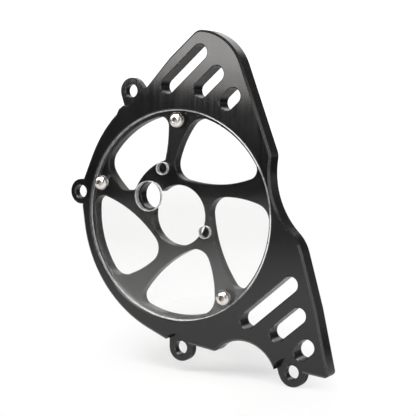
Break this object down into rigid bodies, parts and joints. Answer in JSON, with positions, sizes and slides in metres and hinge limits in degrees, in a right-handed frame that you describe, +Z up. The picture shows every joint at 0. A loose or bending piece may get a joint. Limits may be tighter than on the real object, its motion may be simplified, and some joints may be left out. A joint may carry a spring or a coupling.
{
  "type": "motorcycle sprocket cover",
  "caption": "Flat milled cover for a motorcycle's front sprocket, with bolt-on ears, ventilation slots and a spoked round window closed by a clear disc.",
  "frame": {"origin": "on the axis of the round window, in the plane of the ears' rear faces, which rest on the engine", "axes": "installed position: -Y out of the cover's face, +X towards the rear wheel, +Z up"},
  "size_m": [0.1426, 0.0115, 0.1615],
  "materials": {
    "anodised_plate": "black anodised, finely brushed",
    "clear_disc": "clear, glossy acrylic",
    "stainless_screw": "bright stainless"
  },
  "bodies": {
    "root": {"cover_plate": "anodised_plate", "clear_window": "clear_disc", "window_screw_1": "stainless_screw", "window_screw_2": "stainless_screw", "window_screw_3": "stainless_screw"}
  },
  "joints": []
}
